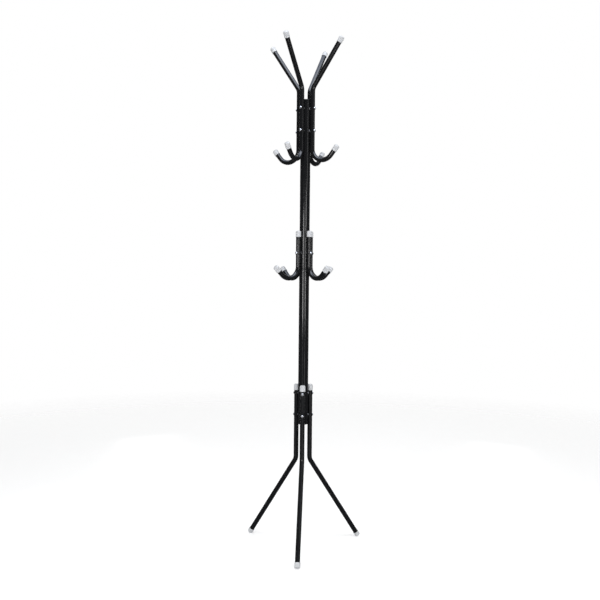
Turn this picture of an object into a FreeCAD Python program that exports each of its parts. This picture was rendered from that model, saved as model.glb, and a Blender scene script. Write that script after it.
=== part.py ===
import FreeCAD, Part
import math
import os

# Standing coat rack: a two-piece steel pole on three legs, with four tall arms and four lower
# hooks. Every arm, hook and leg is one bent steel tube. It stands off the pole on the flanges of
# rivet nuts and is held by screws through the tube. Plastic caps cover all the tubes' ends.
#
# Millimetres. +Z is up, the floor is z = 0 and the pole's axis is the Z axis. An azimuth is an
# angle about the pole in degrees, 0 towards -Y, where the front leg stands, positive towards +X.
# A branch is modelled in the radial plane, with +X outwards from the pole, and then turned.

Vector = FreeCAD.Vector

# Driving dimensions

total_height = 1700.0

pole_radius = 17.0
pole_wall = 1.2
pole_bottom = 412.5
section_length = 567.0
spigot_length = 45.0
pole_end_chamfer = 0.6
shoulder_taper = 2.0
shoulder_step = 0.7

branch_radius = 8.0
branch_wall = 1.2
elbow_radius = 32.0
hook_radius = 40.0
hook_end_run = 18.5

arm_azimuth = 63.5
arm_elbow_height = 1539.0
arm_tilt = 34.8
arm_underside = 1289.5
arm_hook_rise = 50.0
arm_screw_heights = (1397.0, 1472.0)

lower_hook_azimuth = 42.5
lower_hook_top = 1062.0
lower_hook_underside = 895.0
lower_hook_rise = 43.0
lower_hook_screw_heights = (987.0,)

leg_azimuth = 0.0
leg_top = 544.5
knee_height = 291.0
leg_tilt = 33.9
leg_screw_heights = (441.0, 514.0)

cap_radius = 9.4
cap_length = 20.5
cap_end = 3.0
cap_edge = 5.0
foot_cap_length = 15.2
foot_cap_sole = 3.0
foot_cap_edge = 2.5
foot_flat_depth = 0.5
fit_clearance = 0.05

plug_flange = 2.0
plug_flange_edge = 0.8
plug_depth = 20.0
plug_wall = 2.0
plug_fin_height = 1.2
plug_fin_count = 3
plug_fin_reach = 0.5

screw_radius = 2.5
screw_length = 25.0
screw_head_radius = 4.7
screw_head_height = 3.6
screw_head_edge = 2.4
screw_hole_radius = 2.75
seat_radius = 5.2
seat_depth = 0.6
recess_length = 5.4
recess_width = 1.1
recess_depth = 2.0

nut_flange = 1.5
nut_flange_radius = 5.0
nut_body_radius = 3.5
nut_length = 11.0
nut_collar_radius = 4.7
nut_collar = 2.5

# Places that follow from the driving dimensions

joint_height = pole_bottom + section_length - spigot_length
pole_top = joint_height + section_length
pole_bore = pole_radius - pole_wall
stand_off = pole_radius + nut_flange + branch_radius
branch_face = stand_off + branch_radius
seat_face = branch_face - seat_depth
side_names = ("front_right", "back_right", "back_left", "front_left")
leg_names = ("front", "back_right", "back_left")


# Placing

def spread(names, first_azimuth):
    """Names with azimuths, evenly spaced round the pole."""
    step = 360.0 / len(names)
    return [(name, first_azimuth + step * i) for i, name in enumerate(names)]


def turned(shape, azimuth):
    """A copy of a shape from the radial plane, turned to its azimuth."""
    copy = shape.copy()
    copy.rotate(Vector(0, 0, 0), Vector(0, 0, 1), azimuth - 90.0)
    return copy


def radial_cylinder(radius, inner, outer, height):
    """A cylinder that points outwards from the pole, between two distances from its axis."""
    return Part.makeCylinder(radius, outer - inner, Vector(inner, 0, height), Vector(1, 0, 0))


def in_plane(distance, height):
    """A point of the radial plane."""
    return Vector(distance, 0, height)


def heading_vector(heading):
    """Unit vector of a heading, in degrees above the outward horizontal."""
    return Vector(math.cos(math.radians(heading)), 0, math.sin(math.radians(heading)))


def aimed(shape, base, heading):
    """A copy of a shape that stands on the origin, moved to a base and pointed along a heading."""
    copy = shape.copy()
    turn = FreeCAD.Rotation(Vector(0, 0, 1), heading_vector(heading))
    copy.Placement = FreeCAD.Placement(base, turn)
    return copy


def rounded_cylinder(radius, length, edge_radius):
    """A cylinder that stands on the origin, with the edge of its top rounded."""
    body = Part.makeCylinder(radius, length)
    rim = [edge for edge in body.Edges
           if isinstance(edge.Curve, Part.Circle) and edge.CenterOfMass.z > length / 2.0]
    return body.makeFillet(edge_radius, rim)


# Bent tubes

def centreline(start, heading, moves):
    """Edges of a bent tube's centreline, with its end point and heading.

    A move is ("run", length) or ("bend", radius, turn), and a positive turn raises the heading.
    """
    edges = []
    point = start
    for move in moves:
        if move[0] == "run":
            end = point + heading_vector(heading) * move[1]
            edges.append(Part.makeLine(point, end))
        else:
            radius, turn = move[1:]
            centre = point + heading_vector(heading + 90.0) * radius
            middle = centre - heading_vector(heading + turn / 2.0 + 90.0) * radius
            end = centre - heading_vector(heading + turn + 90.0) * radius
            edges.append(Part.Arc(point, middle, end).toShape())
            heading = heading + turn
        point = end
    return edges, point, heading


def swept(edges, radius):
    """A round bar along a centreline."""
    start = edges[0].valueAt(edges[0].FirstParameter)
    direction = edges[0].tangentAt(edges[0].FirstParameter)
    profile = Part.Wire([Part.makeCircle(radius, start, direction)])
    return Part.Wire(edges).makePipeShell([profile], True, False)


def bent_tube(start, heading, moves, screw_heights):
    """A tube with its screw holes, its end point and its end heading.

    A hole goes through both walls, and the outer wall is flat where the screw's head sits.
    """
    edges, end, end_heading = centreline(start, heading, moves)
    tube = swept(edges, branch_radius).cut(swept(edges, branch_radius - branch_wall))
    for height in screw_heights:
        hole = radial_cylinder(screw_hole_radius, pole_radius, branch_face + 1.0, height)
        seat = radial_cylinder(seat_radius, seat_face, branch_face + 1.0, height)
        tube = tube.cut(hole).cut(seat)
    return tube, end, end_heading


# Caps

def cap(length, end_thickness, edge):
    """A cup with its mouth at the origin and its rounded end up the Z axis."""
    body = rounded_cylinder(cap_radius, length, edge)
    return body.cut(Part.makeCylinder(branch_radius + fit_clearance, length - end_thickness))


def on_tube_end(shape, tube_end, heading, cover):
    """A cap pushed over a tube's end by the given cover, closed end along the heading."""
    return aimed(shape, tube_end - heading_vector(heading) * cover, heading)


def cap_reach(length, edge, tilt):
    """How far a tilted cap's rounded end stands above its mouth's centre."""
    lean = math.radians(tilt)
    along = (length - edge) * math.cos(lean)
    across = (cap_radius - edge) * math.sin(lean)
    return along + across + edge


# Arms, hooks and legs

def hook_moves(rise):
    """The upturned end of an arm or a lower hook, from its vertical run to under its cap."""
    cap_cover = cap_length - cap_end
    return [("bend", hook_radius, 90.0 + rise), ("run", hook_end_run + cap_cover)]


def elbow_tangent(tilt):
    """How much of each run an elbow takes up."""
    return elbow_radius * math.tan(math.radians(tilt / 2.0))


def arm():
    """An upper arm with its two caps."""
    cover = cap_length - cap_end
    mouth_height = total_height - cap_reach(cap_length, cap_edge, arm_tilt)
    slant = (mouth_height - arm_elbow_height) / math.cos(math.radians(arm_tilt)) + cover
    down = -90.0 - arm_tilt
    start = in_plane(stand_off, arm_elbow_height) - heading_vector(down) * slant
    hook_centre = arm_underside + branch_radius + hook_radius
    moves = [
        ("run", slant - elbow_tangent(arm_tilt)),
        ("bend", elbow_radius, arm_tilt),
        ("run", arm_elbow_height - elbow_tangent(arm_tilt) - hook_centre),
    ]
    moves += hook_moves(arm_hook_rise)
    tube, end, rise = bent_tube(start, down, moves, arm_screw_heights)
    cup = cap(cap_length, cap_end, cap_edge)
    tip = on_tube_end(cup, start, down + 180.0, cover)
    return {"upper_arm": tube, "arm_tip_cap": tip, "arm_hook_cap": on_tube_end(cup, end, rise, cover)}


def lower_hook():
    """A lower hook with its two caps."""
    cover = cap_length - cap_end
    tube_top = lower_hook_top - cap_end
    hook_centre = lower_hook_underside + branch_radius + hook_radius
    moves = [("run", tube_top - hook_centre)] + hook_moves(lower_hook_rise)
    start = in_plane(stand_off, tube_top)
    tube, end, rise = bent_tube(start, -90.0, moves, lower_hook_screw_heights)
    cup = cap(cap_length, cap_end, cap_edge)
    top = on_tube_end(cup, start, 90.0, cover)
    return {"lower_hook": tube, "hook_top_cap": top, "hook_end_cap": on_tube_end(cup, end, rise, cover)}


def leg():
    """A leg with its top cap and its foot, which is pressed flat where it meets the floor."""
    foot_cover = foot_cap_length - foot_cap_sole
    tube_top = leg_top - cap_end
    mouth_height = cap_reach(foot_cap_length, foot_cap_edge, leg_tilt) - foot_flat_depth
    slant = (knee_height - mouth_height) / math.cos(math.radians(leg_tilt)) + foot_cover
    moves = [
        ("run", tube_top - knee_height - elbow_tangent(leg_tilt)),
        ("bend", elbow_radius, leg_tilt),
        ("run", slant - elbow_tangent(leg_tilt)),
    ]
    start = in_plane(stand_off, tube_top)
    tube, end, out = bent_tube(start, -90.0, moves, leg_screw_heights)
    cup = cap(cap_length, cap_end, cap_edge)
    foot_cup = cap(foot_cap_length, foot_cap_sole, foot_cap_edge)
    top = on_tube_end(cup, start, 90.0, cap_length - cap_end)
    foot = on_tube_end(foot_cup, end, out, foot_cover)
    span = 2.0 * total_height
    below_floor = Part.makeBox(span, span, span, Vector(-total_height, -total_height, -span))
    return {"leg": tube, "leg_top_cap": top, "foot_cap": foot.cut(below_floor)}


# Pole

def revolved(points):
    """A solid turned about the Z axis from a closed outline of (radius, height) points."""
    corners = [in_plane(radius, height) for radius, height in points]
    outline = Part.makePolygon(corners + corners[:1])
    return Part.Face(outline).revolve(Vector(0, 0, 0), Vector(0, 0, 1), 360.0)


def with_nut_holes(pole, first_azimuth, names, heights):
    """The pole's section with a hole for each rivet nut."""
    for name, azimuth in spread(names, first_azimuth):
        for height in heights:
            radius = nut_body_radius + fit_clearance
            hole = radial_cylinder(radius, pole_radius / 2.0, pole_radius + 1.0, height)
            pole = pole.cut(turned(hole, azimuth))
    return pole


def upper_pole():
    """Plain tube with both ends' outer edges broken."""
    chamfer = pole_end_chamfer
    pole = revolved([
        (pole_bore, joint_height),
        (pole_radius - chamfer, joint_height),
        (pole_radius, joint_height + chamfer),
        (pole_radius, pole_top - chamfer),
        (pole_radius - chamfer, pole_top),
        (pole_bore, pole_top),
    ])
    pole = with_nut_holes(pole, arm_azimuth, side_names, arm_screw_heights)
    return with_nut_holes(pole, lower_hook_azimuth, side_names, lower_hook_screw_heights)


def lower_pole():
    """Tube whose top is drawn in to a spigot that the upper section is pushed over."""
    chamfer = pole_end_chamfer
    spigot_radius = pole_bore - fit_clearance
    spigot_bore = spigot_radius - pole_wall
    draw_in = 2.0 * (pole_bore - spigot_bore)
    top = joint_height + spigot_length
    pole = revolved([
        (pole_bore, pole_bottom),
        (pole_radius - chamfer, pole_bottom),
        (pole_radius, pole_bottom + chamfer),
        (pole_radius, joint_height - shoulder_taper),
        (pole_radius - shoulder_step, joint_height),
        (spigot_radius, joint_height),
        (spigot_radius, top - chamfer),
        (spigot_radius - chamfer, top),
        (spigot_bore, top),
        (spigot_bore, joint_height - draw_in / 2.0),
        (pole_bore, joint_height - draw_in),
    ])
    return with_nut_holes(pole, leg_azimuth, leg_names, leg_screw_heights)


def pole_plug():
    """A finned cup that plugs the pole, flange on top and its underside at z = 0."""
    plug = rounded_cylinder(pole_radius, plug_flange, plug_flange_edge)
    fin_radius = pole_bore - fit_clearance
    skirt_radius = fin_radius - plug_fin_reach
    plug = plug.fuse(Part.makeCylinder(skirt_radius, plug_depth, Vector(0, 0, -plug_depth)))
    pitch = plug_depth / plug_fin_count
    for i in range(plug_fin_count):
        foot = Vector(0, 0, -plug_depth + pitch * (i + 0.5))
        plug = plug.fuse(Part.makeCylinder(fin_radius, plug_fin_height, foot))
    hollow = Part.makeCylinder(skirt_radius - plug_wall, plug_depth, Vector(0, 0, -plug_depth))
    return plug.cut(hollow).removeSplitter()


def pole_top_plug():
    plug = pole_plug()
    plug.translate(Vector(0, 0, pole_top))
    return plug


def pole_bottom_plug():
    plug = pole_plug()
    plug.rotate(Vector(0, 0, 0), Vector(1, 0, 0), 180.0)
    plug.translate(Vector(0, 0, pole_bottom))
    return plug


# Screws and rivet nuts

def screw(height):
    """Pan-head machine screw with a cross recess, its head on the branch's flat seat."""
    top = seat_face + screw_head_height
    head = rounded_cylinder(screw_head_radius, screw_head_height, screw_head_edge)
    head = aimed(head, in_plane(seat_face, height), 0.0)
    for width, tall in ((recess_width, recess_length), (recess_length, recess_width)):
        corner = Vector(top - recess_depth, -width / 2.0, height - tall / 2.0)
        head = head.cut(Part.makeBox(recess_depth + 1.0, width, tall, corner))
    shank = radial_cylinder(screw_radius, seat_face - screw_length, seat_face, height)
    return head.fuse(shank).removeSplitter()


def rivet_nut(height):
    """Rivet nut set in the pole's wall, flange outside and folded collar inside."""
    flange_face = pole_radius + nut_flange
    inner_end = flange_face - nut_length
    below = height - nut_flange_radius - 1.0
    tall = 2.0 * (nut_flange_radius + 1.0)
    outside = Part.makeCylinder(pole_radius, tall, Vector(0, 0, below))
    inside = Part.makeCylinder(pole_bore, tall, Vector(0, 0, below))
    nut = radial_cylinder(nut_flange_radius, pole_bore, flange_face, height).cut(outside)
    nut = nut.fuse(radial_cylinder(nut_body_radius, inner_end, flange_face, height))
    collar_end = pole_bore - nut_collar
    collar = radial_cylinder(nut_collar_radius, collar_end, pole_radius, height).common(inside)
    nut = nut.fuse(collar).removeSplitter()
    return nut.cut(radial_cylinder(screw_radius + fit_clearance, inner_end - 1.0, branch_face, height))


def fastener_group(make_one, names, first_azimuth, heights):
    """All the fasteners of one kind of branch, as separate solids in one node."""
    solids = []
    for height in heights:
        one = make_one(height)
        solids += [turned(one, azimuth) for name, azimuth in spread(names, first_azimuth)]
    return Part.makeCompound(solids)


# The whole rack

def all_nodes():
    nodes = {
        "upper_pole": upper_pole(),
        "lower_pole": lower_pole(),
        "pole_top_plug": pole_top_plug(),
        "pole_bottom_plug": pole_bottom_plug(),
    }
    branches = (
        ("upper_arm", arm(), side_names, arm_azimuth, arm_screw_heights),
        ("lower_hook", lower_hook(), side_names, lower_hook_azimuth, lower_hook_screw_heights),
        ("leg", leg(), leg_names, leg_azimuth, leg_screw_heights),
    )
    for branch, pieces, names, first_azimuth, heights in branches:
        for piece, shape in pieces.items():
            for name, azimuth in spread(names, first_azimuth):
                nodes[piece + "_" + name] = turned(shape, azimuth)
        nodes[branch + "_screws"] = fastener_group(screw, names, first_azimuth, heights)
        nodes[branch + "_rivet_nuts"] = fastener_group(rivet_nut, names, first_azimuth, heights)
    return nodes


def main():
    os.makedirs("parts", exist_ok=True)
    for name, shape in all_nodes().items():
        shape.exportStep(os.path.join("parts", name + ".step"))


main()
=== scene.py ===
"""The looks of a standing coat rack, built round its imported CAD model. Metres, +Z up.

The front leg stands towards -Y. An azimuth is an angle about the pole, 0 towards -Y and positive
towards +X. A branch, which is an arm, a lower hook or a leg, is made in the radial plane, with +X
outwards from the pole, and then turned to its azimuth. A heading is an angle in that plane, above
the outward horizontal. All angles are in degrees.
"""

import math

import bpy
import numpy as np
from mathutils import Matrix, Vector


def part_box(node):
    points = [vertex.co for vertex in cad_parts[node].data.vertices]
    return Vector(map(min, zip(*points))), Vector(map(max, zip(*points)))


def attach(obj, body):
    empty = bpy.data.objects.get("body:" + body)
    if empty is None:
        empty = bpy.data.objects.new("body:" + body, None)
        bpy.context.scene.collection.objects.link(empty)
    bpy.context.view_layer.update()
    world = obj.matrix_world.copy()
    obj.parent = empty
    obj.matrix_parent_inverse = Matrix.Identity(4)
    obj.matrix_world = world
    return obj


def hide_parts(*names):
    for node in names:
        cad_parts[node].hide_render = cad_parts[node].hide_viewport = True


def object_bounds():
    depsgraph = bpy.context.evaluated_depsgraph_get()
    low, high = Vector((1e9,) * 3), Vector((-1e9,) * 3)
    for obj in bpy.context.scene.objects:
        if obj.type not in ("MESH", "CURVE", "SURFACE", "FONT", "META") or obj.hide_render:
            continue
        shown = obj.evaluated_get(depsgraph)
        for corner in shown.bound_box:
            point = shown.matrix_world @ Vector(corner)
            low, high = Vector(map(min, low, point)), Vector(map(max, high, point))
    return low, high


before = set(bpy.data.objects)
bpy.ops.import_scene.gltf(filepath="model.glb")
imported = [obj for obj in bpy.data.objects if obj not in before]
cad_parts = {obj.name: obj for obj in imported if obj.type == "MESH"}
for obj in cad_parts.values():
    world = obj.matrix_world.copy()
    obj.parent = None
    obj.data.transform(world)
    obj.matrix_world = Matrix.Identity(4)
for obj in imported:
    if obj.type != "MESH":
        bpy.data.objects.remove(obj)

cad_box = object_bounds()
mm = 0.001

# Sizes of the tubes, caps and screws, as in the CAD model

branch_radius = 8.0 * mm
branch_wall = 1.2 * mm
pole_wall = 1.2 * mm
shoulder_taper = 2.0 * mm
shoulder_step = 0.7 * mm
elbow_radius = 32.0 * mm
hook_radius = 40.0 * mm
hook_end_run = 18.5 * mm
fit_clearance = 0.05 * mm

arm_azimuth = 63.5
arm_tilt = 34.8
arm_elbow_height = 1539.0 * mm
arm_hook_rise = 50.0
lower_hook_azimuth = 42.5
lower_hook_rise = 43.0
leg_azimuth = 0.0
leg_tilt = 33.9
knee_height = 291.0 * mm

cap_radius = 9.4 * mm
cap_length = 20.5 * mm
cap_end = 3.0 * mm
cap_edge = 5.0 * mm
foot_cap_length = 15.2 * mm
foot_cap_sole = 3.0 * mm
foot_cap_edge = 2.5 * mm
foot_flat_depth = 0.5 * mm

plug_flange = 2.0 * mm
plug_depth = 20.0 * mm
plug_wall = 2.0 * mm
plug_fins = 3

seat_radius = 5.2 * mm
seat_depth = 0.6 * mm
screw_radius = 2.5 * mm
screw_length = 25.0 * mm
screw_head_radius = 4.7 * mm
screw_head_height = 3.6 * mm

# Where straps and hangers rub a crook: the heading rubbed most, and how far it fades either way

rubbed_heading = 10.0
rubbed_span = 34.0

# Where the camera stands, and how far it is turned to the left, tipped down and rolled

camera_azimuth = 3.417
camera_distance = 2.577
camera_height = 0.9013
camera_yaw = 0.305
camera_pitch = 0.692
camera_roll = 0.546
camera_lens = 45.79
camera_shift = -0.02

# How finely round shapes are made, and how closely they keep to the CAD model

tube_sides = 64
pole_sides = 112
screw_sides = 48
bend_step = 3.0
run_step = 14.0 * mm
seat_step = 0.8 * mm
sharp_angle = 38.0
box_tolerance = 0.6 * mm

downwards = -90.0
upwards = 90.0
side_names = ("front_right", "back_right", "back_left", "front_left")
leg_names = ("front", "back_right", "back_left")

# Places read from the frame

pole_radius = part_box("upper_pole")[1].x
joint_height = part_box("upper_pole")[0].z
pole_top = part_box("upper_pole")[1].z
pole_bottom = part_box("lower_pole")[0].z
spigot_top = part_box("lower_pole")[1].z
stand_off = branch_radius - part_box("leg_front")[1].y
seat_face = stand_off + branch_radius - seat_depth
total_height = cad_box[1].z


def screw_heights(node):
    """Heights of the upper and the lower row of a node's screws, or of its one row."""
    low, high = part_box(node)
    heights = (high.z - screw_head_radius, low.z + screw_head_radius)
    return heights if heights[0] - heights[1] > screw_head_radius else heights[:1]


def spread(names, first_azimuth):
    """Names with azimuths, evenly spaced round the pole."""
    step = 360.0 / len(names)
    return [(name, first_azimuth + step * i) for i, name in enumerate(names)]


# Mesh making. A shape is a pair: its points as an array of rows, and its faces.

def ring_faces(rings, sides, closed):
    """Quads between neighbouring rings of points, and from the last ring to the first if closed."""
    count = rings if closed else rings - 1
    faces = []
    for i in range(count):
        a, b = i * sides, (i + 1) % rings * sides
        for k in range(sides):
            n = (k + 1) % sides
            faces.append((a + k, a + n, b + n, b + k))
    return faces


def lathed(outline, sides):
    """A closed outline of (radius, height) points turned about the Z axis.

    An outline that starts and ends on the axis makes a solid with a pole at each end.
    """
    angles = np.linspace(0.0, 2.0 * math.pi, sides, endpoint=False)
    on_axis = outline[0][0] == 0.0 and outline[-1][0] == 0.0
    rings = outline[1:-1] if on_axis else outline
    points = [np.column_stack((r * np.cos(angles), r * np.sin(angles), np.full(sides, z)))
              for r, z in rings]
    faces = ring_faces(len(rings), sides, closed=not on_axis)
    if on_axis:
        first, last = len(rings) * sides, len(rings) * sides + 1
        points.append(np.array([[0.0, 0.0, outline[0][1]], [0.0, 0.0, outline[-1][1]]]))
        end = (len(rings) - 1) * sides
        faces += [(first, (k + 1) % sides, k) for k in range(sides)]
        faces += [(last, end + k, end + (k + 1) % sides) for k in range(sides)]
    return np.vstack(points), faces


def arc(centre, radius, start, end, steps):
    """Points of an arc in the (radius, height) plane, its angles measured from outwards."""
    angles = np.radians(np.linspace(start, end, steps + 1))
    return [(centre[0] + radius * math.cos(a), centre[1] + radius * math.sin(a)) for a in angles]


def joined(shapes):
    """Several shapes as one."""
    points, faces, base = [], [], 0
    for shape_points, shape_faces in shapes:
        points.append(shape_points)
        faces += [tuple(base + i for i in face) for face in shape_faces]
        base += len(shape_points)
    return np.vstack(points), faces


def moved(shape, matrix):
    """A shape moved by a 4 by 4 matrix."""
    points, faces = shape
    m = np.array(matrix)
    return points @ m[:3, :3].T + m[:3, 3], faces


def turn(azimuth):
    """Matrix that turns the radial plane to an azimuth."""
    return Matrix.Rotation(math.radians(azimuth - 90.0), 4, "Z")


def heading_vector(heading):
    """Unit vector of a heading."""
    return Vector((math.cos(math.radians(heading)), 0.0, math.sin(math.radians(heading))))


def aim(base, heading):
    """Matrix that takes a shape standing on the origin to a base, and points it along a heading."""
    rotation = Matrix.Rotation(math.radians(90.0 - heading), 4, "Y")
    return Matrix.Translation(base) @ rotation


def plain_object(name, shape):
    """A shape as a bare object in the scene."""
    points, faces = shape
    mesh = bpy.data.meshes.new(name)
    mesh.from_pydata(points.tolist(), [], faces)
    thing = bpy.data.objects.new(name, mesh)
    bpy.context.scene.collection.objects.link(thing)
    return thing


def make_piece(name, shape, slot, node, attributes=None):
    """Makes a shape the piece that stands for a CAD node, and checks that it fills the node's box."""
    piece = plain_object(name, shape)
    mesh = piece.data
    mesh.polygons.foreach_set("use_smooth", [True] * len(mesh.polygons))
    mesh.set_sharp_from_angle(angle=math.radians(sharp_angle))
    for key, values in (attributes or {}).items():
        layer = mesh.attributes.new(key, "FLOAT", "POINT")
        layer.data.foreach_set("value", values.astype(np.float32))
    mesh.materials.append(looks[slot])
    points = shape[0]
    low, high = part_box(node)
    away_low = np.abs(points.min(0) - np.array(low)).max()
    away_high = np.abs(points.max(0) - np.array(high)).max()
    away = max(away_low, away_high)
    if away > box_tolerance:
        raise ValueError(f"{name} is {away / mm:.2f} mm off the box of {node}")
    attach(piece, "root")
    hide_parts(node)


# Bent tubes. A stop is a point of a tube's centreline with the heading there.

def run_marks(length, start_height, heading, heights):
    """Distances along a run where rings go: even steps, and close together beside each screw."""
    marks = list(np.linspace(0.0, length, int(length / run_step) + 2))
    if math.isclose(heading, downwards):
        reach = seat_radius + 4.0 * seat_step
        for height in heights:
            middle = start_height - height
            if reach < middle < length - reach:
                marks = [mark for mark in marks if abs(mark - middle) > reach]
                marks += list(np.arange(-reach, reach + seat_step / 2.0, seat_step) + middle)
    return sorted(marks)


def centreline(start, heading, moves, heights):
    """Stops along a bent tube.

    A move is ("run", length) or ("bend", radius, angle), and a positive angle raises the heading.
    """
    stops = []
    point = start
    for move in moves:
        if move[0] == "run":
            marks = run_marks(move[1], point.z, heading, heights)
            stops += [(point + heading_vector(heading) * mark, heading) for mark in marks]
        else:
            radius, angle = move[1:]
            centre = point + heading_vector(heading + 90.0) * radius
            steps = int(abs(angle) / bend_step) + 1
            headings = [heading + angle * i / steps for i in range(1, steps)]
            heading += angle
            headings.append(heading)
            stops += [(centre - heading_vector(new + 90.0) * radius, new) for new in headings]
        point = stops[-1][0]
    return without_doubles(stops)


def without_doubles(stops):
    """Stops without the doubles where a run starts at the end of a bend."""
    nearest = 0.01 * mm
    kept = stops[:1]
    for stop in stops[1:]:
        if (stop[0] - kept[-1][0]).length > nearest:
            kept.append(stop)
    return kept


def pressed_seats(points, heights):
    """Presses the tube's outer wall flat under each screw's head, with a soft shoulder."""
    shoulder = 1.6 * seat_step
    x, y, z = points[:, 0], points[:, 1], points[:, 2]
    for height in heights:
        away = np.hypot(y, z - height)
        blend = np.clip((away - seat_radius) / shoulder, 0.0, 1.0)
        blend = blend * blend * (3.0 - 2.0 * blend)
        flat = np.minimum(x, seat_face)
        x = np.where(x > stand_off, flat + (x - flat) * blend, x)
    return np.column_stack((x, y, z))


def tube_shape(stops, heights):
    """A hollow tube along its stops with rounded rims, and how worn each of its points is."""
    angles = np.linspace(0.0, 2.0 * math.pi, tube_sides, endpoint=False)
    rim = 0.35 * mm

    def ring(stop, radius, back=0.0):
        """Points round a stop, or a little back from it."""
        point, heading = stop
        centre = point - heading_vector(heading) * back
        normal, across = heading_vector(heading + 90.0), Vector((0.0, 1.0, 0.0))
        return (np.array(centre) + radius * np.outer(np.cos(angles), np.array(normal))
                + radius * np.outer(np.sin(angles), np.array(across)))

    first, last = stops[0], stops[-1]
    bore = branch_radius - branch_wall
    outer = [ring(first, branch_radius - rim), ring(first, branch_radius, -rim)]
    outer += [ring(stop, branch_radius) for stop in stops[1:-1]]
    outer += [ring(last, branch_radius, rim), ring(last, branch_radius - rim)]
    inner = [ring(last, bore + rim), ring(last, bore, rim)]
    inner += [ring(stop, bore) for stop in reversed(stops[1:-1])]
    inner += [ring(first, bore, -rim), ring(first, bore + rim)]
    outside = pressed_seats(np.vstack(outer), heights)
    points = np.vstack([outside] + inner)
    faces = ring_faces(len(outer) + len(inner), tube_sides, closed=True)
    wear = [wear_of(stop, angles) for stop in [first] + stops + [last]]
    wear = np.concatenate(wear + [np.zeros(len(inner) * tube_sides)])
    return (points, faces), wear


def wear_of(stop, angles):
    """How much straps and hangers have rubbed one ring: most on the crook's inner side."""
    heading = stop[1]
    resting = math.exp(-((heading - rubbed_heading) / rubbed_span) ** 2)
    inner_side = np.clip(np.cos(angles), 0.0, 1.0) ** 1.5
    return resting * inner_side


def branch_tube(name, node, azimuth, start, heading, moves, heights):
    """Makes one bent tube and returns its end point and heading."""
    stops = centreline(start, heading, moves, heights)
    shape, wear = tube_shape(stops, heights)
    make_piece(name, moved(shape, turn(azimuth)), "black_paint", node, {"wear": wear})
    return stops[-1]


# Caps

def cap_shape(length, end_thickness, edge):
    """A moulded cup, mouth at the origin: a beaded mouth, a slight draft, a rounded end with a
    shallow gate mark, and a bore."""
    bead = cap_radius
    bead_height = 1.4 * mm
    body = cap_radius - 0.12 * mm
    draft = 0.1 * mm
    lip = 0.3 * mm
    bore = branch_radius + fit_clearance
    corner = 1.0 * mm
    gate = 1.3 * mm
    gate_floor = 0.8 * gate
    gate_depth = 0.22 * mm
    shoulder = body - draft - edge
    inside = length - end_thickness
    outline = [(0.0, length - gate_depth), (gate_floor, length - gate_depth), (gate, length)]
    outline += arc((shoulder, length - edge), edge, 90.0, 0.0, steps=14)
    outline += [(body - draft / 2.0, length / 2.0), (body, bead_height + lip)]
    outline += [(bead - lip / 3.0, bead_height + lip / 3.0), (bead, bead_height)]
    outline += arc((bead - lip, lip), lip, 0.0, -90.0, steps=4)
    outline += arc((bore + lip, lip), lip, -90.0, -180.0, steps=4)
    outline += arc((bore - corner, inside - corner), corner, 0.0, 90.0, steps=4) + [(0.0, inside)]
    return lathed(outline[::-1], tube_sides)


def make_cap(name, node, azimuth, shape, mouth, heading):
    """Makes a cap, its mouth at a point of the radial plane, its closed end along the heading."""
    placed = moved(shape, turn(azimuth) @ aim(mouth, heading))
    make_piece(name, placed, "white_plastic", node)


def pressed_on_floor(shape):
    """A foot's cap where the rack's weight flattens it on the floor and makes it bulge."""
    bulge = 0.03
    bulge_height = 2.0 * mm
    sole_height = 0.5 * mm
    points, faces = shape
    near = np.clip(1.0 - points[:, 2] / bulge_height, 0.0, 1.0) ** 2
    middle = points[points[:, 2] < sole_height, :2].mean(0)
    outwards = bulge * near[:, None] * (points[:, :2] - middle)
    flat = np.column_stack((points[:, :2] + outwards, np.maximum(points[:, 2], 0.0)))
    return flat, faces


def cap_reach(length, edge, tilt):
    """How far above or below its mouth's centre a tilted cap's rounded end reaches."""
    lean = math.radians(tilt)
    return (length - edge) * math.cos(lean) + (cap_radius - edge) * math.sin(lean) + edge


# Branches

def hook_moves(rise):
    """The upturned end of an arm or a lower hook, from its vertical run to under its cap."""
    return [("bend", hook_radius, 90.0 + rise), ("run", hook_end_run + cap_length - cap_end)]


def elbow_tangent(tilt):
    """How much of each run an elbow takes up."""
    return elbow_radius * math.tan(math.radians(tilt / 2.0))


def make_arms():
    """The upper arms, each from its leaning tip down to its crook, with both caps."""
    cover = cap_length - cap_end
    heights = screw_heights("upper_arm_screws")
    mouth_height = total_height - cap_reach(cap_length, cap_edge, arm_tilt)
    slant = (mouth_height - arm_elbow_height) / math.cos(math.radians(arm_tilt)) + cover
    down = downwards - arm_tilt
    start = Vector((stand_off, 0.0, arm_elbow_height)) - heading_vector(down) * slant
    shape = cap_shape(cap_length, cap_end, cap_edge)
    for side, azimuth in spread(side_names, arm_azimuth):
        node = "upper_arm_" + side
        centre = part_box(node)[0].z + branch_radius + hook_radius
        moves = [
            ("run", slant - elbow_tangent(arm_tilt)),
            ("bend", elbow_radius, arm_tilt),
            ("run", arm_elbow_height - elbow_tangent(arm_tilt) - centre),
        ]
        moves += hook_moves(arm_hook_rise)
        end, rise = branch_tube("arm_tube_" + side, node, azimuth, start, down, moves, heights)
        tip_mouth = start + heading_vector(down) * cover
        hook_mouth = end - heading_vector(rise) * cover
        make_cap("tip_cap_" + side, "arm_tip_cap_" + side, azimuth, shape, tip_mouth, down + 180.0)
        make_cap("crook_cap_" + side, "arm_hook_cap_" + side, azimuth, shape, hook_mouth, rise)


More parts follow.
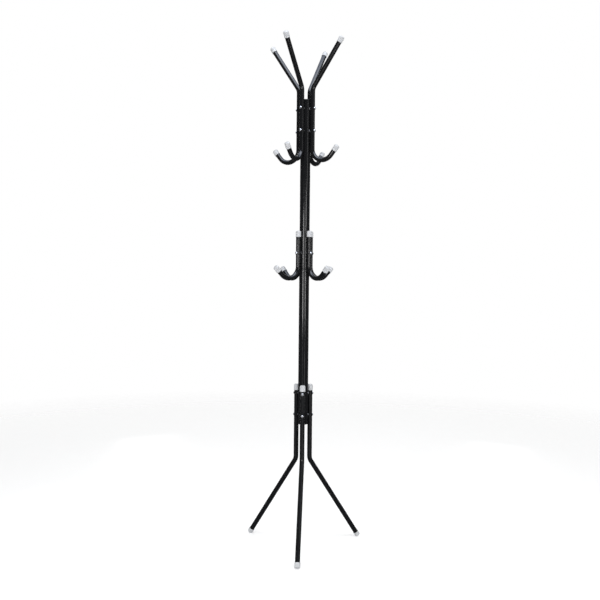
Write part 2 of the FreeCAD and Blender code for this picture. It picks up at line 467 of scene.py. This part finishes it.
def make_lower_hooks():
    """The lower hooks, each with its two caps."""
    cover = cap_length - cap_end
    heights = screw_heights("lower_hook_screws")
    shape = cap_shape(cap_length, cap_end, cap_edge)
    for side, azimuth in spread(side_names, lower_hook_azimuth):
        node = "lower_hook_" + side
        low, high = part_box(node)
        start = Vector((stand_off, 0.0, high.z))
        moves = [("run", high.z - low.z - branch_radius - hook_radius)] + hook_moves(lower_hook_rise)
        end, rise = branch_tube("hook_tube_" + side, node, azimuth, start, downwards, moves, heights)
        top_mouth = start - Vector((0.0, 0.0, cover))
        end_mouth = end - heading_vector(rise) * cover
        make_cap("top_cap_" + side, "hook_top_cap_" + side, azimuth, shape, top_mouth, upwards)
        make_cap("end_cap_" + side, "hook_end_cap_" + side, azimuth, shape, end_mouth, rise)


def make_legs():
    """The legs, each with its top cap and the foot that it stands on."""
    heights = screw_heights("leg_screws")
    foot_cover = foot_cap_length - foot_cap_sole
    mouth_height = cap_reach(foot_cap_length, foot_cap_edge, leg_tilt) - foot_flat_depth
    slant = (knee_height - mouth_height) / math.cos(math.radians(leg_tilt)) + foot_cover
    shape = cap_shape(cap_length, cap_end, cap_edge)
    foot_shape = cap_shape(foot_cap_length, foot_cap_sole, foot_cap_edge)
    for side, azimuth in spread(leg_names, leg_azimuth):
        node = "leg_" + side
        start = Vector((stand_off, 0.0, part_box(node)[1].z))
        moves = [
            ("run", start.z - knee_height - elbow_tangent(leg_tilt)),
            ("bend", elbow_radius, leg_tilt),
            ("run", slant - elbow_tangent(leg_tilt)),
        ]
        end, out = branch_tube("leg_tube_" + side, node, azimuth, start, downwards, moves, heights)
        top_mouth = start - Vector((0.0, 0.0, cap_length - cap_end))
        make_cap("leg_cap_" + side, "leg_top_cap_" + side, azimuth, shape, top_mouth, upwards)
        foot_mouth = end - heading_vector(out) * foot_cover
        foot = moved(foot_shape, turn(azimuth) @ aim(foot_mouth, out))
        make_piece("foot_" + side, pressed_on_floor(foot), "white_plastic", "foot_cap_" + side)


# Pole

def make_poles():
    """The two sections, which meet in a fine groove, with the lower one's spigot inside the upper."""
    edge = 0.6 * mm
    fine_edge = edge / 3.0
    corner = pole_radius - edge
    bore = pole_radius - pole_wall
    spigot = bore - fit_clearance
    spigot_bore = spigot - pole_wall
    draw_in = 2.0 * (pole_wall + fit_clearance)
    shoulder = pole_radius - shoulder_step
    taper_start = joint_height - shoulder_taper
    upper = arc((corner, joint_height + edge), edge, -90.0, 0.0, steps=5)
    upper += arc((corner, pole_top - edge), edge, 0.0, 90.0, steps=5)
    upper += [(bore, pole_top), (bore, joint_height)]
    lower = arc((corner, pole_bottom + edge), edge, -90.0, 0.0, steps=5)
    lower += [(pole_radius, taper_start - edge), (pole_radius, taper_start)]
    lower += [(shoulder, joint_height - fine_edge), (shoulder - fine_edge, joint_height)]
    lower += [(spigot, joint_height), (spigot, spigot_top - edge), (spigot - edge, spigot_top)]
    lower += [(spigot_bore, spigot_top), (spigot_bore, joint_height - draw_in / 2.0)]
    lower += [(bore, joint_height - draw_in), (bore, pole_bottom)]
    make_piece("pole_tube_upper", lathed(upper, pole_sides), "black_paint", "upper_pole")
    make_piece("pole_tube_lower", lathed(lower, pole_sides), "black_paint", "lower_pole")


def plug_shape():
    """A finned cup with its flange on z = 0, crowned, with a shallow gate mark."""
    edge = 0.8 * mm
    broken_edge = 0.1 * mm
    rim = pole_radius - edge
    crown = 0.25 * mm
    crown_start = 0.6 * pole_radius
    gate = 2.0 * mm
    gate_floor = 0.9 * gate
    gate_top = plug_flange - 0.4 * mm
    fin = pole_radius - pole_wall - fit_clearance
    fin_lead = 0.2 * mm
    fin_land = 1.0 * mm
    fin_height = 1.3 * mm
    first_fin = 0.45
    skirt = fin - 0.5 * mm
    hollow = skirt - plug_wall
    hollow_top = -0.8 * mm
    outline = [(0.0, gate_top), (gate_floor, gate_top), (gate, plug_flange)]
    outline += [(crown_start, plug_flange)]
    outline += arc((rim, plug_flange - crown - edge), edge, 90.0, 0.0, steps=6)
    outline += [(pole_radius, broken_edge), (pole_radius - broken_edge, 0.0), (skirt, 0.0)]
    pitch = plug_depth / plug_fins
    for i in range(plug_fins):
        top = -pitch * (i + first_fin)
        outline += [(skirt, top + fin_lead), (fin, top), (fin - broken_edge, top - fin_land)]
        outline += [(skirt, top - fin_height)]
    outline += [(skirt, -plug_depth), (hollow, -plug_depth), (hollow, hollow_top), (0.0, hollow_top)]
    return lathed(outline[::-1], pole_sides)


def make_plugs():
    """The pole's end plugs. The bottom one is the same plug upside down."""
    shape = plug_shape()
    top = Matrix.Translation((0.0, 0.0, pole_top))
    bottom = Matrix.Translation((0.0, 0.0, pole_bottom)) @ Matrix.Rotation(math.pi, 4, "X")
    make_piece("plug_top", moved(shape, top), "black_plastic", "pole_top_plug")
    make_piece("plug_bottom", moved(shape, bottom), "black_plastic", "pole_bottom_plug")


# Screws

def recess_cutter():
    """A tapered cross with a pointed bottom, its wide end above the screw head's top."""
    wide_reach = 3.074 * mm
    wide_half = 0.713 * mm
    narrow_reach = 1.378 * mm
    narrow_half = 0.434 * mm
    wide_height = screw_head_height + 0.6 * mm
    narrow_height = screw_head_height - 2.1 * mm
    tip_height = narrow_height - 0.5 * mm

    def cross(reach, half, height):
        """Points of a cross from the reach and the half width of its arms."""
        corner = [(reach, -half), (reach, half), (half, half)]
        points = []
        for quarter in range(4):
            c, s = math.cos(quarter * math.pi / 2.0), math.sin(quarter * math.pi / 2.0)
            points += [(x * c - y * s, x * s + y * c, height) for x, y in corner]
        return np.array(points)

    levels = [cross(wide_reach, wide_half, wide_height), cross(narrow_reach, narrow_half, narrow_height)]
    ends = np.array([[0.0, 0.0, tip_height], [0.0, 0.0, wide_height]])
    sides = len(levels[0])
    faces = [face[::-1] for face in ring_faces(2, sides, closed=False)]
    faces += [(sides + (k + 1) % sides, sides + k, 2 * sides) for k in range(sides)]
    faces += [(k, (k + 1) % sides, 2 * sides + 1) for k in range(sides)]
    return np.vstack(levels + [ends]), faces


def screw_shape():
    """A pan-head machine screw that stands on the origin, shank down, with a cross recess."""
    top_flat = 1.6 * mm
    top_drop = 0.03 * mm
    bulge = 2.45 * mm
    side = 1.15 * mm
    under_edge = 0.25 * mm
    neck = 0.2 * mm
    neck_length = 0.3 * mm
    tip = 0.7 * mm
    tip_length = 0.8 * mm
    outline = [(0.0, screw_head_height), (top_flat, screw_head_height - top_drop)]
    outline += arc((screw_head_radius - bulge, side), bulge, 84.0, 0.0, steps=12)
    outline += [(screw_head_radius, under_edge), (screw_head_radius - under_edge, 0.0)]
    outline += [(screw_radius + neck, 0.0), (screw_radius, -neck_length)]
    outline += [(screw_radius, tip_length - screw_length), (screw_radius - tip, -screw_length)]
    outline += [(0.0, -screw_length)]
    body = plain_object("screw_body", lathed(outline[::-1], screw_sides))
    cutter = plain_object("recess", recess_cutter())
    cut = body.modifiers.new("recess", "BOOLEAN")
    cut.operation = "DIFFERENCE"
    cut.solver = "EXACT"
    cut.object = cutter
    graph = bpy.context.evaluated_depsgraph_get()
    mesh = bpy.data.meshes.new_from_object(body.evaluated_get(graph))
    points = np.array([v.co for v in mesh.vertices])
    faces = [tuple(p.vertices) for p in mesh.polygons]
    for thing in (body, cutter):
        bpy.data.objects.remove(thing)
    return points, faces


def make_screws():
    """Each group of screws as one piece. Every screw has stopped at its own angle."""
    first_stop = 20.0
    next_stop = 37.0
    shape = screw_shape()
    groups = (
        ("upper_arm_screws", side_names, arm_azimuth),
        ("lower_hook_screws", side_names, lower_hook_azimuth),
        ("leg_screws", leg_names, leg_azimuth),
    )
    for node, names, first_azimuth in groups:
        placed = []
        for height in screw_heights(node):
            for _, azimuth in spread(names, first_azimuth):
                stopped = math.radians(next_stop * len(placed) + first_stop)
                spin = Matrix.Rotation(stopped, 4, "Z")
                seat = aim(Vector((seat_face, 0.0, height)), 0.0)
                placed.append(moved(shape, turn(azimuth) @ seat @ spin))
        make_piece("driven_" + node, joined(placed), "screw_zinc", node)


# Materials

def new_material(name, **values):
    """A material with values set on its shader's own sockets."""
    material = bpy.data.materials.new(name)
    material.use_nodes = True
    shader = material.node_tree.nodes["Principled BSDF"]
    for socket, value in values.items():
        shader.inputs[socket.replace("_", " ")].default_value = value
    return material, material.node_tree, shader


def object_space(tree):
    """The place on a piece in its own space, which the frame's pieces share."""
    return tree.nodes.new("ShaderNodeTexCoord").outputs["Object"]


def add_noise(tree, place, scale, detail=2.0, stretch=None):
    """Noise with a scale in features per metre. Stretch scales the three axes."""
    if stretch:
        mapping = tree.nodes.new("ShaderNodeMapping")
        mapping.inputs["Scale"].default_value = stretch
        tree.links.new(place, mapping.inputs["Vector"])
        place = mapping.outputs["Vector"]
    noise = tree.nodes.new("ShaderNodeTexNoise")
    noise.inputs["Scale"].default_value = scale
    noise.inputs["Detail"].default_value = detail
    tree.links.new(place, noise.inputs["Vector"])
    return noise.outputs["Fac"]


def add_range(tree, value, low, high, to_low, to_high):
    """Maps a value from one range to another, clamped."""
    node = tree.nodes.new("ShaderNodeMapRange")
    for name, number in (("From Min", low), ("From Max", high), ("To Min", to_low), ("To Max", to_high)):
        node.inputs[name].default_value = number
    tree.links.new(value, node.inputs["Value"])
    return node.outputs["Result"]


def add_math(tree, operation, first, second):
    """A math node on two values, each an output or a number."""
    node = tree.nodes.new("ShaderNodeMath")
    node.operation = operation
    for i, value in enumerate((first, second)):
        if isinstance(value, (int, float)):
            node.inputs[i].default_value = value
        else:
            tree.links.new(value, node.inputs[i])
    return node.outputs["Value"]


def add_mix(tree, factor, first, second):
    """Mixes two colours by a factor."""
    node = tree.nodes.new("ShaderNodeMix")
    node.data_type = "RGBA"
    node.inputs["A"].default_value = (*first, 1.0)
    node.inputs["B"].default_value = (*second, 1.0)
    tree.links.new(factor, node.inputs["Factor"])
    return node.outputs["Result"]


def add_bump(tree, shader, height, distance, strength):
    """Adds relief to the shader, on top of any that it has."""
    bump = tree.nodes.new("ShaderNodeBump")
    bump.inputs["Distance"].default_value = distance
    bump.inputs["Strength"].default_value = strength
    tree.links.new(height, bump.inputs["Height"])
    normal = shader.inputs["Normal"]
    if normal.links:
        tree.links.new(normal.links[0].from_socket, bump.inputs["Normal"])
    tree.links.new(bump.outputs["Normal"], normal)


def make_black_paint():
    """Glossy black powder coat: orange peel, uneven gloss, a little dust, and rubbing in the hooks."""
    fresh = (0.0062, 0.0064, 0.0072)
    rubbed_grey = (0.045, 0.046, 0.048)
    gloss_range = (0.11, 0.19)
    rougher_with_dust = 0.12
    rougher_with_rubbing = 0.18
    paler_with_dust = 0.08
    material, tree, shader = new_material("gloss_black", Specular_IOR_Level=0.42)
    place = object_space(tree)
    peel = add_noise(tree, place, scale=620.0, detail=1.0)
    waves = add_noise(tree, place, scale=95.0, detail=1.0)
    cloud = add_noise(tree, place, scale=22.0, detail=3.0)
    dust = add_noise(tree, place, scale=2400.0, detail=1.0)
    dust = add_range(tree, dust, 0.72, 0.80, 0.0, 1.0)
    scuffs = add_noise(tree, place, scale=260.0, detail=4.0, stretch=(1.0, 1.0, 0.12))
    scuffs = add_range(tree, scuffs, 0.50, 0.66, 0.0, 1.0)
    wear = tree.nodes.new("ShaderNodeAttribute")
    wear.attribute_name = "wear"
    rubbed = add_math(tree, "MULTIPLY", wear.outputs["Fac"], scuffs)
    gloss = add_range(tree, cloud, 0.3, 0.7, *gloss_range)
    gloss = add_math(tree, "ADD", gloss, add_math(tree, "MULTIPLY", dust, rougher_with_dust))
    gloss = add_math(tree, "ADD", gloss, add_math(tree, "MULTIPLY", rubbed, rougher_with_rubbing))
    tree.links.new(gloss, shader.inputs["Roughness"])
    grey = add_math(tree, "ADD", add_math(tree, "MULTIPLY", dust, paler_with_dust), rubbed)
    tree.links.new(add_mix(tree, grey, fresh, rubbed_grey), shader.inputs["Base Color"])
    add_bump(tree, shader, waves, distance=0.05 * mm, strength=0.35)
    add_bump(tree, shader, peel, distance=0.02 * mm, strength=0.25)
    return material


def make_white_plastic():
    """Soft white polyethylene: lets some light in, with a fine satin skin and a hint of handling."""
    clean = (0.47, 0.478, 0.495)
    handled = (0.39, 0.39, 0.39)
    roughness_range = (0.36, 0.50)
    material, tree, shader = new_material(
        "soft_white", Subsurface_Weight=0.3, Subsurface_Scale=0.003, Specular_IOR_Level=0.45)
    shader.inputs["Subsurface Radius"].default_value = (1.0, 0.95, 0.88)
    place = object_space(tree)
    skin = add_noise(tree, place, scale=1500.0, detail=2.0)
    flow = add_noise(tree, place, scale=140.0, detail=3.0)
    grime = add_noise(tree, place, scale=75.0, detail=5.0)
    grime = add_range(tree, grime, 0.52, 0.78, 0.0, 1.0)
    tree.links.new(add_mix(tree, grime, clean, handled), shader.inputs["Base Color"])
    tree.links.new(add_range(tree, flow, 0.3, 0.7, *roughness_range), shader.inputs["Roughness"])
    add_bump(tree, shader, flow, distance=0.06 * mm, strength=0.4)
    add_bump(tree, shader, skin, distance=0.015 * mm, strength=0.5)
    return material


def make_black_plastic():
    """Moulded black plastic with a fine matt texture."""
    dark = (0.010, 0.010, 0.011)
    light = (0.020, 0.020, 0.021)
    roughness_range = (0.42, 0.55)
    material, tree, shader = new_material("matt_black", Specular_IOR_Level=0.4)
    place = object_space(tree)
    grain = add_noise(tree, place, scale=1300.0, detail=3.0)
    cloud = add_noise(tree, place, scale=90.0, detail=2.0)
    tree.links.new(add_mix(tree, cloud, dark, light), shader.inputs["Base Color"])
    tree.links.new(add_range(tree, cloud, 0.3, 0.7, *roughness_range), shader.inputs["Roughness"])
    add_bump(tree, shader, grain, distance=0.02 * mm, strength=0.6)
    return material


def make_zinc(name, bright, rough):
    """Zinc-plated steel: uneven plating, fine scratches and a few duller spots."""
    material, tree, shader = new_material(name, Metallic=1.0)
    place = object_space(tree)
    cloud = add_noise(tree, place, scale=420.0, detail=4.0)
    scratches = add_noise(tree, place, scale=3000.0, detail=2.0, stretch=(1.0, 1.0, 0.15))
    dulling = 0.78
    dull = tuple(dulling * c for c in bright)
    roughness_range = (rough, rough + 0.14)
    tree.links.new(add_mix(tree, cloud, bright, dull), shader.inputs["Base Color"])
    tree.links.new(add_range(tree, cloud, 0.3, 0.7, *roughness_range), shader.inputs["Roughness"])
    add_bump(tree, shader, scratches, distance=0.01 * mm, strength=0.35)
    return material


def dress_rivet_nuts():
    """The rivet nuts keep their CAD meshes and get the plated finish."""
    for branch in ("upper_arm", "lower_hook", "leg"):
        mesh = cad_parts[branch + "_rivet_nuts"].data
        mesh.materials.clear()
        mesh.materials.append(looks["nut_zinc"])


# Stage, lights and camera

def make_floor():
    """A pale floor that fades out into the pale surroundings."""
    reach = 4.0
    sides = 96
    fade_start = 1.2
    fade_end = 3.6
    angles = [2.0 * math.pi * k / sides for k in range(sides)]
    points = [(0.0, 0.0, 0.0)] + [(reach * math.cos(a), reach * math.sin(a), 0.0) for a in angles]
    faces = [(0, k + 1, (k + 1) % sides + 1) for k in range(sides)]
    floor = plain_object("floor", (np.array(points), faces))
    material, tree, shader = new_material(
        "floor_paint", Roughness=0.6, Specular_IOR_Level=0.2, Emission_Strength=0.16)
    shader.inputs["Base Color"].default_value = (0.88, 0.88, 0.88, 1.0)
    shader.inputs["Emission Color"].default_value = (1.0, 1.0, 1.0, 1.0)
    length = tree.nodes.new("ShaderNodeVectorMath")
    length.operation = "LENGTH"
    tree.links.new(object_space(tree), length.inputs[0])
    fade = add_range(tree, length.outputs["Value"], fade_start, fade_end, 1.0, 0.0)
    tree.links.new(fade, shader.inputs["Alpha"])
    floor.data.materials.append(material)
    floor.visible_glossy = False


def make_surroundings():
    """Pale surroundings: white where the camera sees them, soft light on what is matt, and dim in
    reflections, as in a studio whose far walls are dark."""
    matt_strength = 0.72
    glossy_strength = 0.05
    more_when_seen = 0.28
    world = bpy.data.worlds.new("studio")
    bpy.context.scene.world = world
    world.use_nodes = True
    tree = world.node_tree
    background = tree.nodes["Background"]
    path = tree.nodes.new("ShaderNodeLightPath")
    strength = add_range(tree, path.outputs["Is Glossy Ray"], 0.0, 1.0, matt_strength, glossy_strength)
    seen = add_math(tree, "MULTIPLY", path.outputs["Is Camera Ray"], more_when_seen)
    tree.links.new(add_math(tree, "ADD", strength, seen), background.inputs["Strength"])
    background.inputs["Color"].default_value = (1.0, 1.0, 1.0, 1.0)


def make_light(name, place, target, width, tall, power, colour=(1.0, 1.0, 1.0)):
    """A soft rectangular light at a place, aimed at another."""
    data = bpy.data.lights.new(name, "AREA")
    data.shape = "RECTANGLE"
    data.size = width
    data.size_y = tall
    data.energy = power
    data.color = colour
    light = bpy.data.objects.new(name, data)
    light.location = place
    light.rotation_euler = (Vector(target) - Vector(place)).to_track_quat("-Z", "Y").to_euler()
    light.visible_camera = False
    bpy.context.scene.collection.objects.link(light)
    return light


def around(azimuth, distance, height):
    """A place at an azimuth and a distance from the pole's axis."""
    a = math.radians(azimuth)
    return distance * math.sin(a), -distance * math.cos(a), height


def upright_light(name, azimuth, distance, height, width, tall, power):
    """An upright soft box that faces the pole."""
    return make_light(name, around(azimuth, distance, height), (0.0, 0.0, height), width, tall, power)


def make_front_lights():
    """Upright soft boxes beside and behind the camera, and one overhead."""
    upright_light("strip_left", camera_azimuth - 27.0, distance=2.0, height=0.86,
                  width=0.30, tall=0.65, power=9.0)
    upright_light("strip_right", camera_azimuth + 31.0, distance=2.0, height=0.96,
                  width=0.30, tall=0.85, power=8.0)
    upright_light("front", camera_azimuth, distance=3.4, height=0.86,
                  width=1.9, tall=0.9, power=8.0)
    upright_light("side", camera_azimuth + 55.0, distance=2.2, height=1.90,
                  width=0.35, tall=0.9, power=2.2)
    make_light("overhead", (0.3, -0.85, 3.0), (0.3, -0.55, 1.5),
               width=2.2, tall=1.15, power=30.0, colour=(0.94, 0.97, 1.0))


def make_reflected_lights():
    """Lights that show only in reflections: a bluish ceiling, two low panels beside the camera and
    two at the back."""
    lights = [
        make_light("ceiling", (0.3, -0.4, 3.05), (0.3, -0.4, 0.0),
                   width=3.6, tall=2.6, power=90.0, colour=(0.72, 0.81, 1.0)),
        upright_light("low_left", camera_azimuth - 22.0, distance=0.9, height=0.26,
                      width=0.12, tall=0.5, power=0.22),
        upright_light("low_right", camera_azimuth + 26.0, distance=0.9, height=0.26,
                      width=0.14, tall=0.5, power=0.4),
        upright_light("back_left", 210.0, distance=2.0, height=0.75,
                      width=0.3, tall=1.4, power=3.6),
        upright_light("back_right", 150.0, distance=2.0, height=0.75,
                      width=0.3, tall=1.4, power=3.6),
    ]
    for light in lights:
        light.visible_diffuse = False


def make_back_light():
    """A broad light from high behind the rack."""
    make_light("back", (0.0, 2.6, 2.2), (0.0, 0.0, 0.9), width=2.2, tall=1.2, power=12.0)


def make_camera():
    """A view from the front at about half the rack's height, a little past the pole, a little
    downwards and slightly rolled."""
    heading = math.radians(camera_azimuth + camera_yaw)
    pitch = math.radians(camera_pitch)
    roll = math.radians(camera_roll)
    forward = Vector((-math.sin(heading) * math.cos(pitch), math.cos(heading) * math.cos(pitch),
                      -math.sin(pitch)))
    level = Vector((math.cos(heading), math.sin(heading), 0.0))
    upright = level.cross(forward)
    right = level * math.cos(roll) + upright * math.sin(roll)
    up = upright * math.cos(roll) - level * math.sin(roll)
    place = Vector(around(camera_azimuth, camera_distance, camera_height))
    data = bpy.data.cameras.new("camera")
    data.lens = camera_lens
    data.shift_y = camera_shift
    camera = bpy.data.objects.new("camera", data)
    columns = Matrix((right, up, -forward)).transposed().to_4x4()
    camera.matrix_world = Matrix.Translation(place) @ columns
    bpy.context.scene.collection.objects.link(camera)
    bpy.context.scene.camera = camera


make_camera()
looks = {
    "black_paint": make_black_paint(),
    "white_plastic": make_white_plastic(),
    "black_plastic": make_black_plastic(),
    "screw_zinc": make_zinc("bright_zinc", bright=(0.86, 0.87, 0.89), rough=0.26),
    "nut_zinc": make_zinc("dull_zinc", bright=(0.52, 0.52, 0.53), rough=0.38),
}
make_poles()
make_plugs()
make_arms()
make_lower_hooks()
make_legs()
make_screws()
dress_rivet_nuts()
make_floor()
make_surroundings()
make_front_lights()
make_reflected_lights()
make_back_light()
bpy.context.scene.view_settings.view_transform = "Standard"
